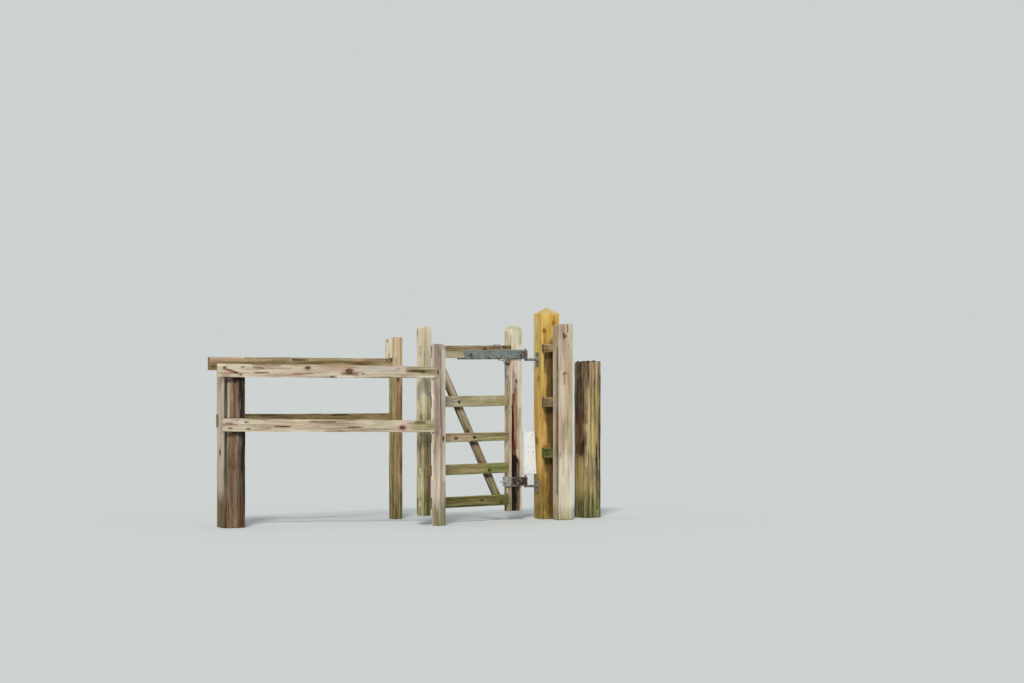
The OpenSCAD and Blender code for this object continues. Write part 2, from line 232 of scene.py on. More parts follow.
def on_bench(name, turn, roll):
    """A copy of a construction solid with its foot or left end at X = 0, and the way back to its place."""
    piece = add(name + "_worn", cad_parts[name].data.copy())
    edit(piece, (bpy.ops.mesh.remove_doubles, {"threshold": 0.00001}))
    piece.data.transform(own_axes(turn, roll).inverted())
    low, high = points(piece).min(0), points(piece).max(0)
    corner = Matrix.Translation((low[0], (low[1] + high[1]) / 2, (low[2] + high[2]) / 2))
    piece.data.transform(corner.inverted())
    return piece, own_axes(turn, roll) @ corner


# %% [markdown]
# Wear comes in three sizes. Rain and frost round the arrises, for which an even mesh of 4 mm squares is enough.
# The soft wood between the rings sinks, which leaves long shallow hollows and ridges. And a board moves a little
# as it dries, so that none of its edges is quite straight. The Displace modifier makes the last two from cloud
# patterns, which an empty stretches along the grain. Hollows only take wood away, and drying only shifts it.

# %% Wear
MESH_SIZE = 0.004  # metres
guide = add("grain_guide", None)


def cloud_pattern(name, size):
    """A cloud pattern for the Displace modifier. Its size is in metres."""
    pattern = bpy.data.textures.new(name, "CLOUDS")
    pattern.noise_scale = size
    return pattern


hollows, ridges, drying = (cloud_pattern(*row) for row in (("hollows", 0.028), ("ridges", 0.009), ("drying", 0.16)))


def sway(piece, pattern, stretch, depth, way):
    """Moves the surface by a cloud pattern. The depth is in millimetres."""
    inwards = way == "NORMAL"
    guide.scale = (stretch, 1, 1) if inwards else (stretch, 90, 90)
    bpy.context.view_layer.update()
    shape(
        piece, "DISPLACE", texture=pattern, texture_coords="OBJECT", texture_coords_object=guide,
        direction=way, mid_level=0.8 if inwards else 0.5, strength=depth / 1000,
    )


def wear(piece, seed, hollow, bow):
    """Wears a timber on the bench. The depths of its hollows and of its bow are in millimetres."""
    shape(piece, "REMESH", mode="VOXEL", voxel_size=MESH_SIZE)
    guide.location = (seed * 1.37, seed * 0.61, seed * 0.29)
    sway(piece, hollows, 9, hollow, "NORMAL")
    sway(piece, ridges, 14, 1.2, "NORMAL")
    sway(piece, drying, 1.5, bow, "Y")
    sway(piece, drying, 1.1, bow, "Z")


print("patterns of wear:", [pattern.name for pattern in (hollows, ridges, drying)])

# %% [markdown]
# Oak shrinks more round its rings than along them, so it opens in clefts that run with the grain. A painted line
# would do from afar, but a cleft that is cut has its own shadow from every side. The cutter is a sphere pulled
# out to a long thin lens, because a cleft starts and ends in nothing. All lenses of one timber are bent together
# along its grain and cut in one go. Places on a timber are noted in millimetres: the side, how far along the
# grain, and how far off that side's middle.

# %% Clefts
SIDES = {
    "front": ((0, 1), (0, 0, 1)), "back": ((0, 1), (0, 0, -1)),
    "left": ((0, 2), (0, 1, 0)), "right": ((0, 2), (0, -1, 0)),
    "top": ((1, 2), (1, 0, 0)), "foot": ((1, 2), (-1, 0, 0)),
}


def on_side(piece, side, a, b):
    """The place a, b of one side as a point, in metres."""
    plane, out = SIDES[side]
    place = np.abs(out) * (points(piece).max(0) if sum(out) > 0 else points(piece).min(0))
    place[plane[0]], place[plane[1]] = a / 1000, b / 1000
    return Vector(place)


def cleave(piece, clefts):
    """Cuts the clefts. Each is a side, its two ends a, b and c, d, its width and its depth, in millimetres."""
    cutters = []
    for side, a, b, c, d, width, depth in clefts:
        start, end = on_side(piece, side, a, b), on_side(piece, side, c, d)
        out = Vector(SIDES[side][1])
        along = (end - start).normalized()
        pose = Matrix((along.cross(out), out, along)).transposed()
        bpy.ops.mesh.primitive_uv_sphere_add(
            segments=8, ring_count=18, radius=0.5, location=(start + end) / 2, rotation=pose.to_euler(),
            scale=(width / 1000, depth / 500, (end - start).length),
        )
        cutters.append(bpy.context.object)
    pick(*cutters)
    bpy.ops.object.join()
    lenses = bpy.context.object
    bpy.ops.object.transform_apply(location=True, rotation=True, scale=True)
    sway(lenses, drying, 0.35, 6, "Y")
    sway(lenses, drying, 0.4, 5, "Z")
    shape(piece, "BOOLEAN", operation="DIFFERENCE", solver="MANIFOLD", object=lenses)
    bpy.data.objects.remove(lenses)


print("sides:", list(SIDES))

# %% [markdown]
# The finish has to know where it is on the timber. Each piece therefore carries five notes on its points:
# "grain" is the place on the bench, bent round the knots as real fibres are; "knot" is the distance from the
# nearest knot, in knot radii; the third note is the colour of what has soaked in, and of the shade and highlights
# that are painted on, and how much of it; "end" marks the sawn ends and "arris" the long edges. Image textures
# could do the same, but notes need no unwrapping.

# %% Notes for the finish
# The darkest colour here serves both as soot and as painted shade: shadows under rails, straps and the brace, and
# the dark of gaps, splits and recesses. The palest serves both as bleaching and as painted highlights on lit edges.
STAIN_AND_LIGHT_COLOURS = {
    "soot": "1f1710", "tannin": "683e31", "umber": "6a4a30", "violet": "8f7c79", "bleach": "e9dfca",
    "blush": "c79d85", "silver": "b9b4ad", "algae": "7c8040", "moss": "59632c", "lichen": "c3c090",
    "honey": "c98c3a", "rust": "7a4529", "slate": "26262c", "straw": "c2ad6e", "seam": "5f2814",
    "paste": "cbc19f", "clay": "9c6e55", "bronze": "5f430f",
}
KNOT_LENGTH = 1.5  # times its width
NO_KNOT = 6.0  # knot radii
ARRIS_WIDTH = 9  # millimetres


def note(piece, name, kind, values):
    """Stores one value, vector or colour on each point."""
    layer = piece.data.attributes.new(name, kind, "POINT")
    field = {"FLOAT": "value", "FLOAT_VECTOR": "vector", "FLOAT_COLOR": "color"}[kind]
    layer.data.foreach_set(field, np.asarray(values, np.float32).ravel())


def share(place, normals, side, a, b, c, d, reach):
    """How much each point belongs to a line from a, b to c, d on one side. It fades out beyond the reach."""
    if side == "all":
        far = np.maximum(a / 1000 - place[:, 0], place[:, 0] - c / 1000).clip(0) * 1000 / reach
        return np.exp(-far ** 4)
    if side == "deep":
        inset = np.minimum(place.max(0) - place, place - place.min(0)).min(1)
        facing, plane = np.clip(inset * 400 - 2.0, 0, 1), (0, 1)  # from 5 mm to 7.5 mm below the surface
    else:
        plane, out = SIDES[side]
        facing = np.clip(normals @ np.array(out, np.float32) * 1.8 + 0.1, 0, 1)
    flat = place[:, plane] * 1000 - np.array((a, b))
    way = np.array((c - a, d - b), float)
    part = np.clip(flat @ way / max(way @ way, 1e-6), 0, 1)
    far = np.linalg.norm(flat - part[:, None] * way, axis=1) / reach
    return np.exp(-far ** 4) * facing


def mark(piece, seed, knots=(), stains_and_light=()):
    """knots: side, a, b, radius. stains: kind, side, a, b, c, d, reach, amount. Lengths in millimetres."""
    place, normals = points(piece), points(piece, "normal")
    grain = place.copy()
    nearest = np.full(len(place), NO_KNOT, np.float32)
    for side, a, b, radius in knots:
        (_, other), out = SIDES[side]
        dx, dy = (place[:, 0] - a / 1000) / KNOT_LENGTH, place[:, other] - b / 1000
        far = np.sqrt(dx * dx + dy * dy) * 1000
        here = normals @ np.array(out, np.float32) > 0.2
        nearest = np.where(here, np.minimum(nearest, far / radius), nearest)
        grain[:, other] -= np.where(here, dy * radius ** 2 / np.maximum(far, radius) ** 2, 0)
    note(piece, "grain", "FLOAT_VECTOR", grain + np.array([seed * 3.1, seed * 0.7, seed * 0.43]))
    note(piece, "knot", "FLOAT", nearest)
    note(piece, "end", "FLOAT", np.clip(np.abs(normals[:, 0]) * 2.5 - 1.1, 0, 1))
    inset = np.minimum(place.max(0) - place, place - place.min(0))[:, 1:] * 1000
    note(piece, "arris", "FLOAT", np.clip(1 - np.linalg.norm(inset, axis=1) / ARRIS_WIDTH, 0, 1))
    colour, depth = np.tile(linear(STAIN_AND_LIGHT_COLOURS["umber"])[:3], (len(place), 1)) * 0.001, np.full(len(place), 0.001)
    for kind, side, a, b, c, d, reach, amount in stains_and_light:
        part = share(place, normals, side, a, b, c, d, reach) * amount
        colour = colour * (1 - part[:, None]) + np.array(linear(STAIN_AND_LIGHT_COLOURS[kind])[:3]) * part[:, None]
        depth = depth * (1 - part) + part
    note(piece, "stain_and_light", "FLOAT_COLOR", np.column_stack((colour / depth[:, None], depth)))


print("kinds of stain:", list(STAIN_AND_LIGHT_COLOURS))

# %% [markdown]
# A finished timber goes back to its place in one step. Its place is baked into its mesh, so the object itself
# stays at the origin, and it rides on the body that it belongs to.

# %% Back to its place
PLACED = {}
SMOOTH_BELOW = math.radians(42)


def set_up(piece, home, material, slot, body, *replaced):
    """Takes a finished piece from the bench to its place on the gate."""
    piece.data.transform(home)
    piece.data.materials.clear()
    piece.data.materials.append(material)
    pick(piece)
    bpy.ops.object.shade_smooth_by_angle(angle=SMOOTH_BELOW)
    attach(piece, body)
    if replaced:
        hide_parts(*replaced)
        PLACED[replaced[0]] = piece, home, body
    print(f"{piece.name}: {len(piece.data.polygons)} faces, on {body}")


# %% [markdown]
# The finish is oak that was sawn, never painted, and left outdoors. Sun and rain wash the brown out of its
# surface and leave silver fibres, while the hollows and checks keep their dirt. So the colour follows the relief:
# stretched noises give the warm patches (90 mm), the clouds (50 mm), the growth bands (24 mm) and the streaks
# (9 mm), and the fibres (3 mm) and pores (1 mm) that only a close view shows. The ramp goes from dirt to silver.
# Old outdoor wood is matt, so its roughness is high, and a little lower where rain keeps the ridges polished.

# %% Weathered timber
OLD_KNOT = ("7d5f45", "241a14", "1e1410", "3f2b1f", "5e4230", "7a5b42")
NEW_KNOT = ("c08f42", "80561e", "75501f", "916223", "a8772c", "be9240")


def weathered_timber(name, deep, mid, pale, warm, contrast, rough=0.88, knotty=OLD_KNOT):
    """Matt outdoor wood between a deep and a pale colour, with warm patches where the brown is left."""
    around, edge, crack, core, ring, bright = knotty
    material, tree, skin = blank(name)
    grain = noted(tree, "grain", "Vector")
    bands, streaks, fibres, pores, patches, cloudy = (
        clouds(tree, grain, detail, stretch=(along, across), Distortion=0.2) for along, across, detail in
        ((2.2, 42, 3), (5, 110, 3), (14, 330, 2), (40, 1000, 2), (2.6, 11, 2), (3.4, 19, 2))
    )
    weight = maths(tree, "MULTIPLY", bands, 0.32)
    weight = maths(tree, "MULTIPLY_ADD", streaks, 0.26, weight)
    weight = maths(tree, "MULTIPLY_ADD", pores, 0.16, weight)
    relief = maths(tree, "MULTIPLY_ADD", fibres, 0.26, weight)
    level = maths(tree, "ADD", relief, spread(tree, cloudy, 0.3, 0.7, -0.055, 0.055))
    half = 0.105 / contrast
    tone = spread(tree, level, 0.49 - half, 0.49 + half)
    colour = ramp(tree, tone, (0.0, deep), (0.42, mid), (1.0, pale))
    colour = blend(tree, spread(tree, patches, 0.5, 0.66, to_high=0.6), colour, warm)

    # The arrises are rubbed and rained on most, so they are the palest.
    rubbed = spread(tree, streaks, 0.38, 0.6, to_high=0.75)
    rubbed = maths(tree, "MULTIPLY", noted(tree, "arris"), rubbed)
    colour = blend(tree, rubbed, colour, pale)

    # Checks are thin cracks along the grain. The middle value of a noise makes long wandering lines of them.
    line = clouds(tree, grain, 1.5, stretch=(1.5, 34))
    line = maths(tree, "COMPARE", line, 0.5, 0.008)
    check = maths(tree, "MULTIPLY", line, spread(tree, patches, 0.51, 0.56))
    colour = blend(tree, maths(tree, "MULTIPLY", check, 0.65), colour, "2c231b")

    # Sawn ends show the year rings, 4 mm apart, round a heart that lies a little off the middle.
    flat = node(tree, "VectorMath", {0: grain, 1: (0, 1, 1)}, operation="MULTIPLY")
    cell = node(tree, "VectorMath", {0: flat, 1: (1, 0.5, 0.5)}, operation="MODULO")
    year = node(tree, "VectorMath", {0: cell}, out="Value", operation="LENGTH")
    year = maths(tree, "SINE", maths(tree, "MULTIPLY", year, 1570.0))
    sawn = ramp(tree, spread(tree, year, -1.0, 1.0, 0.25, 0.8), (0.0, deep), (1.0, mid))
    colour = blend(tree, noted(tree, "end"), colour, sawn)

    # What has soaked in, with the painted shade and highlights noted alongside it, is strongest in the hollows, so
    # the streaks break its edges and show through it.
    stain_and_light_amount = noted(tree, "stain_and_light", "Alpha")
    shade = spread(tree, tone, to_low=0.62, to_high=1.3)
    stain_and_light = node(tree, "VectorMath", {0: noted(tree, "stain_and_light", "Color"), "Scale": shade}, operation="SCALE")
    broken = spread(tree, relief, 0.4, 0.6, 1.55, 0.5)
    amount = maths(tree, "MULTIPLY", stain_and_light_amount, broken, clamp=True)
    amount = maths(tree, "MAXIMUM", amount, spread(tree, stain_and_light_amount, 0.8))
    colour = blend(tree, amount, colour, stain_and_light)

    # A knot is a dark plug with rings and cracks of its own, a black rim and a brown halo. It is harder than the
    # wood round it and soaks up less, so it lies over the stains.
    lumps = clouds(tree, grain, 3.0, 130.0)
    lumps = spread(tree, lumps, 0.3, 0.7, -0.16, 0.16)
    knot = maths(tree, "ADD", noted(tree, "knot"), lumps)
    rings = maths(tree, "SINE", maths(tree, "MULTIPLY", knot, 15.0))
    rings = maths(tree, "MULTIPLY_ADD", streaks, 0.6, spread(tree, rings, -1.0, 1.0, to_high=0.4))
    plug = ramp(tree, rings, (0.2, core), (0.5, ring), (0.8, bright))
    cracks = node(tree, "TexVoronoi", {"Vector": grain, "Scale": 75.0}, feature="DISTANCE_TO_EDGE")
    plug = blend(tree, spread(tree, cracks, 0.07, 0.02, to_high=0.8), plug, crack)
    rim = maths(tree, "MULTIPLY", maths(tree, "COMPARE", knot, 1.0, 0.14), 0.7)
    colour = blend(tree, spread(tree, knot, 2.6, 1.0, to_high=0.5), colour, around)
    colour = blend(tree, spread(tree, knot, 1.1, 0.8, to_high=0.9), colour, plug)
    colour = blend(tree, rim, colour, edge)
    tree.links.new(colour, skin.inputs["Base Color"])

    height = maths(tree, "MULTIPLY_ADD", check, -0.35, relief)
    height = maths(tree, "MULTIPLY_ADD", rim, -0.15, height)
    bump = node(tree, "Bump", {"Height": height, "Strength": 0.9, "Distance": 0.006})
    tree.links.new(bump, skin.inputs["Normal"])
    tree.links.new(spread(tree, relief, 0.4, 0.6, min(rough + 0.08, 1.0), rough - 0.1), skin.inputs["Roughness"])
    skin.inputs["Specular IOR Level"].default_value = 0.22
    return material


FINISH = {name: weathered_timber(name, *row) for name, *row in (
    ("silvered_oak", "7d6a57", "b7a88f", "d8ccb7", "a98c74", 0.8),
    ("browned_oak", "64533a", "9c8a63", "c0b08a", "8a714f", 0.9),
    ("mossy_oak", "70623f", "a69a73", "c8bd9b", "967c5a", 0.8),
    ("algae_oak", "575028", "8c8450", "aca272", "867046", 0.7),
    ("damp_oak", "574630", "8d7550", "a9936c", "7b6040", 0.6),
    ("pale_oak", "9c8a72", "cfc0a6", "e8deca", "bb9c7e", 0.8),
    ("smooth_oak", "a59878", "d3c9a6", "e4dbbf", "bda585", 0.6),
    ("pinkish_oak", "7f6e5f", "b5a28d", "d8cab6", "a98a74", 0.9),
    ("bleached_oak", "8d7c67", "bcac92", "d8ccb6", "b4957a", 0.7),
    ("brown_oak", "3f3329", "85725d", "b3a18a", "74553f", 0.8),
    ("tan_oak", "8a6f48", "c8ab7c", "ddc69c", "bd9060", 0.7),
    ("rotten_oak", "2b221b", "7f6c4c", "c3b083", "8d7145", 1.2),
    ("treated_pine", "b08430", "d8b257", "e8d184", "cf9a38", 0.7, 0.7, NEW_KNOT),
)}
print("timber finishes:", list(FINISH))

# %% [markdown]
# Now each timber is worn, cleft, marked and set up. First come the notes on what each one shows, as a carpenter
# would chalk them on: the clefts, the knots, and the stains in the order in which they soaked in, with painted
# shade and painted highlights chalked among them as stains. A cleft is written as its two ends, its width and its
# depth, a knot as its place and its radius, and a stain as its kind, its two ends, its reach and its amount. "all"
# is a stain on every side, from one place along the grain to another, and "deep" is one inside an opening.

# %% Reading the chalk marks
def read(mark):
    """The words and numbers of one mark."""
    return [float(word) if word[-1].isdigit() else word for word in mark.replace(",", " ").split()]


def chalked(text):
    """Each piece's marks as rows. A | comes before each side and a ; between marks. Longer lines are indented."""
    marks = {}
    for line in text.strip().replace("\n    ", " ").splitlines():
        name, *sides = line.split("|")
        rows = marks[name.strip()] = []
        for run in sides:
            side, run = run.split(":")
            for words in map(read, run.split(";")):
                kind = [word for word in words if isinstance(word, str)]
                rows.append((*kind, side.strip(), *words[len(kind):]))
    return marks


print(chalked("apex_post | top: soot 0,0 20,0 5 0.5"))

# %% [markdown]
# The rails of the pen are the most weathered: cream where the rain washes them, with dark seams, and knots with a
# dark sweep. The pale lines along parts of their top and bottom edges are painted highlights.

# %% What the rails of the pen show
CLEFTS = chalked("""
front_top_rail | front: 46,16 130,-10 8 8; 236,-10 330,-8 5 6; 762,-12 900,-24 7 7; 1230,2 1335,-9 10 9;
    236,30 300,22 5 5; 728,-38 766,-50 12 14; 340,-49 362,-49 10 14; 628,-49 646,-49 9 14; 480,-20 610,-16 3 5
    | back: 200,10 420,4 6 8; 820,-14 1100,-8 5 7
front_lower_rail | front: 340,-6 425,-7 6 7; 556,23 716,21 4.5 6; 800,-12 892,-13 7 8; 664,-46 690,-49 9 12;
    1236,18 1296,17 7 7; 150,-30 300,-26 3.5 5; 1141,-28 1168,-9 3 5; 1120,-15 1184,-20 3.5 6
    | back: 300,-10 560,-2 6 8; 900,14 1120,8 5 7
rear_top_rail | front: 622,24 740,21 6 8 | back: 180,-6 420,2 6 8; 760,12 1010,4 7 8
rear_lower_rail | front: 300,30 520,34 5 7; 880,24 1010,28 5 6 | back: 420,-6 700,2 6 8
""")
KNOTS = chalked("""
front_top_rail | front: 578,20 10; 845,0 13 | back: 520,8 12
front_lower_rail | front: 1152,-18 11 | back: 700,10 13
rear_top_rail | back: 610,-8 12
rear_lower_rail | back: 980,6 11
""")
STAINS_AND_LIGHT = chalked("""
front_top_rail | front: bleach 10,41 46,41 7 0.7; blush 70,-2 90,-6 18 0.6; violet 40,-26 80,-24 13 0.6;
    tannin 44,17 130,-11 9 0.75; umber 232,38 400,37 9 0.55; tannin 236,26 292,20 7 0.5;
    tannin 238,-9 328,-8 6 0.65; blush 440,-20 560,-22 16 0.35; umber 480,-18 610,-14 6 0.4;
    soot 728,-38 766,-50 8 0.8; blush 770,14 900,12 16 0.4; tannin 800,-18 895,-23 11 0.7;
    tannin 830,-4 858,-4 15 0.6; bleach 771,-36 866,-36 8 0.6; silver 905,12 1115,10 24 0.45;
    tannin 1148,14 1164,14 7 0.5; algae 1250,2 1410,0 44 0.35; umber 1225,4 1400,-6 15 0.6;
    soot 1245,-1 1325,-8 8 0.6; umber 1228,46 1400,46 8 0.6; bleach 1225,-36 1400,-37 7 0.4;
    bleach 420,-40 560,-40 6 0.5 | back: algae 0,0 1424,0 60 0.35; umber 300,20 900,10 20 0.4
front_lower_rail | front: tannin 0,12 60,12 10 0.6; violet 62,38 108,38 9 0.5; seam 28,16 92,4 7 0.5;
    seam 1134,-30 1172,-6 6 0.45; seam 1138,-6 1168,-32 6 0.45; bleach 116,24 245,23 14 0.35;
    tannin 338,-6 428,-6 7 0.55; umber 556,23 716,21 8 0.5; soot 664,-46 690,-48 8 0.7; blush 420,8 540,6 16 0.35;
    tannin 804,-12 860,-12 8 0.6; umber 860,-12 900,-12 6 0.5; blush 1100,-12 1200,-14 20 0.5;
    algae 980,20 1100,24 22 0.35; violet 1190,12 1262,11 11 0.6; algae 1250,0 1390,0 44 0.45;
    umber 1238,18 1294,17 9 0.7; umber 690,46 1388,46 6 0.5; bleach 60,-38 640,-38 6 0.35
    | back: algae 0,0 1400,0 60 0.45; umber 200,-10 900,10 22 0.4
rear_top_rail | front: blush 0,28 260,30 24 0.55; bleach 0,42 250,42 8 0.5; umber 270,42 1400,42 8 0.4;
    soot 622,23 744,20 8 0.6; bleach 616,16 617,44 3 0.6; algae 860,18 1000,18 12 0.3; blush 1120,22 1330,20 14 0.3;
    umber 0,4 1400,0 14 0.4 | back: umber 0,0 1450,0 60 0.3; algae 400,10 1000,0 24 0.4
rear_lower_rail | front: umber 230,46 1400,45 10 0.75; algae 240,20 1390,18 24 0.25; umber 0,10 1390,10 50 0.35;
    soot 0,12 30,8 30 0.6; umber 700,34 1000,32 10 0.4; soot 880,25 1010,27 6 0.5 | back: algae 0,0 1400,0 60 0.4;
    umber 500,14 1000,8 20 0.4
""")
print("rail marks:", {name: len(rows) for name, rows in STAINS_AND_LIGHT.items()})

# %% [markdown]
# The posts differ more than the rails. The apex post is brown; the dark of its waney right corner and the
# shadows of the pen's rails across its front are painted shade. The hanging post is new and yellow; on its front,
# the dark in the narrow gap behind the side post and under each side rail is painted shade with some grime, and it
# is darker towards the foot. The old post is nearly rotten: torn open in long clefts, with a ragged top, and black
# on its left, which is partly dark wood and partly painted shade from the posts in front of it.

# %% What the posts show
CLEFTS |= chalked("""
apex_post | front: 250,53 960,56 10 16; 620,4 900,2 5 8; 100,-18 560,-14 8 12; 480,-50 900,-46 9 12
    | left: 300,20 760,14 6 10 | right: 200,10 800,16 9 14 | back: 300,-10 900,-2 10 16 | top: -50,-30 40,36 9 30;
    -34,42 44,-30 7 24
old_post | front: 440,14 1060,10 11 26; 560,-20 1070,-16 8 20; 860,36 1075,38 9 22; 780,-44 1070,-46 9 22;
    60,-34 520,-30 7 16; 40,30 470,34 9 20 | left: 480,-30 1060,-26 12 26; 640,6 1060,10 10 24; 200,34 700,36 9 20
    | right: 300,-8 1060,0 12 28; 100,34 600,30 8 18 | back: 240,14 1060,20 13 30; 400,-34 960,-30 8 20
    | top: -60,-10 54,26 11 44; -20,60 26,-62 10 40; -56,40 10,6 8 34
side_post | left: 160,24 640,26 7 12; 700,25 1120,26 6 10 | front: 1190,15 1245,16 7 8; 1236,-12 1290,-13 5 7;
    300,8 620,10 4 8; 760,-22 1080,-20 4 7 | right: 200,-6 900,2 8 14 | back: 500,10 1150,14 7 12
    | top: -34,-20 30,26 6 26
hanging_post | front: 1160,30 1262,34 5 8 | left: 300,-20 700,-14 5 10 | back: 400,6 1100,14 6 12
    | right: 500,-10 1180,-4 6 12
front_shutting_post | front: 660,20 1120,24 5 7; 120,6 520,10 4 7 | left: 300,-12 700,-6 5 8
    | right: 300,4 1000,0 6 9 | back: 400,2 900,6 5 8
rear_shutting_post | front: 300,6 820,2 5 7 | left: 380,-4 800,-8 5 8 | right: 300,4 900,0 6 9
    | back: 260,-4 960,4 6 9
""")
KNOTS |= chalked("""
apex_post | left: 480,-10 12 | back: 700,20 16
side_post | front: 1216,1 5 | right: 700,14 14 | back: 900,-12 12
hanging_post | front: 1252,46 10; 1300,-22 11 | left: 516,-10 15; 930,14 14 | front: 470,30 15 | back: 820,-18 16
    | right: 560,16 15; 1040,-20 13
front_shutting_post | left: 985,16 5 | front: 560,-8 9 | right: 760,8 10
rear_shutting_post | front: 930,2 8 | back: 620,6 10
old_post | right: 700,-20 14 | back: 520,10 14
""")
# On the side rails the dark lines along the lower edges are painted shadow, and the pale line along the top of the
# middle one is a painted highlight.
STAINS_AND_LIGHT |= chalked("""
apex_post | left: bleach 450,0 1020,0 80 0.5; bleach 250,0 960,0 80 0.35; blush 380,-10 960,-20 50 0.4
    | front: umber 400,10 960,10 34 0.8; violet 500,-18 940,-16 8 0.45; soot 0,63 1000,63 11 0.85;
    bleach 604,42 925,42 4 0.6; soot 0,-54 1010,-52 30 0.85 | right: soot 0,20 1010,20 46 0.55
    | front: soot 936,0 946,0 16 0.85; soot 936,60 946,-60 16 0.85; soot 596,50 596,-60 15 0.8
    | all: umber 0,0 20,0 210 0.5 | left: moss 0,0 20,0 170 0.35 | back: algae 0,0 1020,0 80 0.4
old_post | front: straw 440,-14 830,-8 36 0.55; straw 700,-26 880,-30 14 0.5; blush 880,12 1050,10 14 0.5;
    tannin 880,46 1060,46 10 0.6; tannin 900,-14 1060,-14 6 0.6; blush 900,-40 1050,-40 10 0.5;
    soot 860,30 1060,30 5 0.8; soot 0,-58 1060,-60 10 0.9 | left: slate 690,0 1060,0 62 0.9;
    slate 400,20 700,16 30 0.7; violet 640,10 740,6 18 0.4; umber 420,0 660,0 60 0.5; straw 170,0 370,0 60 0.7;
    soot 430,20 500,42 22 0.85; tannin 640,10 860,6 34 0.35; blush 60,-58 1030,-58 9 0.5
    | front: umber 640,52 1000,48 14 0.7; soot 60,-34 480,-30 8 0.7 | all: moss 0,0 60,0 110 0.5
    | top: soot -50,0 50,0 60 0.6 | back: umber 0,0 1050,0 70 0.5 | right: soot 500,20 1050,20 26 0.6
    | back: algae 100,20 700,10 30 0.4
side_post | front: lichen 600,-36 1240,-36 12 0.4; violet 1000,34 1290,34 12 0.35; blush 640,6 1160,0 22 0.3;
    soot 1200,15 1234,15 6 0.8; soot 1244,-13 1286,-13 5 0.7 | left: tannin 180,22 1130,24 15 0.7;
    soot 180,25 1080,26 9 0.7; bleach 100,-30 1100,-28 14 0.4 | front: bleach 60,0 380,0 60 0.5;
    umber 300,22 620,22 9 0.35; algae 560,0 640,0 40 0.25 | all: algae 0,0 20,0 70 0.4
    | front: rust 900,12 974,12 7 0.45 | back: umber 0,0 1300,0 60 0.35 | right: algae 0,0 800,0 50 0.4
hanging_post | front: honey 1160,46 1250,48 13 0.75; honey 1290,-22 1340,-24 12 0.7; umber 1240,46 1262,46 8 0.6;
    umber 0,-24 1160,-24 42 0.9; moss 0,-16 1060,-16 34 0.55; soot 60,-30 1130,-30 34 0.9;
    umber 990,20 1078,16 34 0.75; soot 1040,4 1075,4 42 0.6; umber 670,20 745,16 34 0.75; soot 715,4 742,4 42 0.6;
    umber 340,20 405,16 34 0.75; soot 375,4 402,4 42 0.6; umber 100,14 980,14 18 0.45; honey 160,54 980,54 12 0.6
    | left: honey 200,-10 900,-14 44 0.4; lichen 800,-40 1320,-46 14 0.4 | top: lichen -80,-80 80,80 120 0.4
    | left: umber 980,30 1050,34 6 0.4 | all: moss 0,0 30,0 80 0.4 | back: honey 200,20 700,10 30 0.5
    | right: honey 300,-10 900,-10 24 0.5 | front: bronze 60,-12 1110,-12 42 0.6 | all: bronze 0,0 130,0 200 0.5
front_shutting_post | left: violet 600,10 1160,10 26 0.6; umber 300,0 900,4 12 0.25; bleach 300,-28 1160,-28 6 0.6;
    bleach 815,-22 840,-22 9 0.7; soot 980,16 990,16 5 0.7 | front: umber 640,24 1130,26 6 0.5;
    bleach 300,-12 1120,-10 18 0.45 | all: moss 0,0 40,0 110 0.5 | back: umber 0,0 1170,0 40 0.4
rear_shutting_post | left: bleach 1020,-24 1200,-24 7 0.6 | all: umber 0,0 900,0 60 0.55
    | left: algae 200,0 900,0 40 0.5 | front: tannin 300,-24 880,-24 8 0.5; bleach 1000,10 1200,10 24 0.4
    | all: moss 0,0 120,0 100 0.5
rear_post_board | left: lichen 20,0 132,0 44 0.25; bleach 0,0 132,0 40 0.6 | front: bleach 0,0 132,0 20 0.3
side_rail_top | front: straw 20,6 150,6 22 0.25; soot 0,-30 155,-30 5 0.5
side_rail_middle | front: violet 20,-10 150,-10 18 0.35; straw 0,28 155,28 6 0.4; moss 0,-14 155,-14 16 0.45;
    soot 0,-34 155,-34 6 0.6
side_rail_bottom | all: moss 0,0 155,0 36 0.8 | front: soot 0,-36 155,-36 7 0.7
notice_batten | all: umber 0,0 260,0 30 0.4
""")
print("timbers with marks:", len(STAINS_AND_LIGHT))

# %% [markdown]
# The leaf is paler than the pen. Its heel stile has split from the hinges' strain: the split starts as a red
# seam at half height and opens to a gap at the foot, which is painted black as shade. The lower rails stay damp,
# so they are green. All five tenons are painted black as shade inside the heel, where the split shows them, and
# end pale and flush in the shutting stile.

# %% What the leaf shows
CLEFTS |= chalked("""
heel_stile | front: 730,30 965,30 4 6; 770,12 905,17 4 5 | left: 920,-14 950,-12 5 6; 885,-4 905,-16 5 5;
    850,6 875,-4 5 5; 815,16 840,8 4 5; 780,22 806,18 4 5 | back: 300,8 900,14 7 12 | right: 200,6 860,0 6 10
    | front: 560,-30 900,-26 4 7
shutting_stile | left: 1158,-26 1208,-36 7 8; 640,-4 960,-10 4 6 | front: 300,6 780,2 4 7 | right: 400,8 1000,2 5 8
    | back: 300,-4 900,6 6 9
gate_rail_top | front: 120,10 330,12 4 6 | back: 200,-8 560,2 6 9
gate_rail_second | front: 240,-6 312,-5 4 4; 480,8 660,6 3.5 4 | back: 200,2 560,8 4 5
gate_rail_third | front: 520,2 700,4 3.5 4 | back: 240,-4 600,2 4 5
gate_rail_fourth | front: 140,6 360,4 3.5 4 | back: 300,4 640,0 4 5
gate_rail_bottom | front: 200,-8 420,-4 4 4 | back: 240,4 640,8 4 5
gate_brace | front: 420,4 620,8 4 4; 740,-12 900,-14 4 4 | back: 300,2 760,8 4 5
""")
KNOTS |= chalked("""
heel_stile | front: 860,2 7 | back: 620,-14 11
shutting_stile | front: 900,-12 8 | back: 520,6 10
gate_rail_top | front: 520,18 9
gate_rail_third | front: 300,-4 8
gate_rail_bottom | front: 520,6 9
gate_brace | front: 560,-8 8
""")
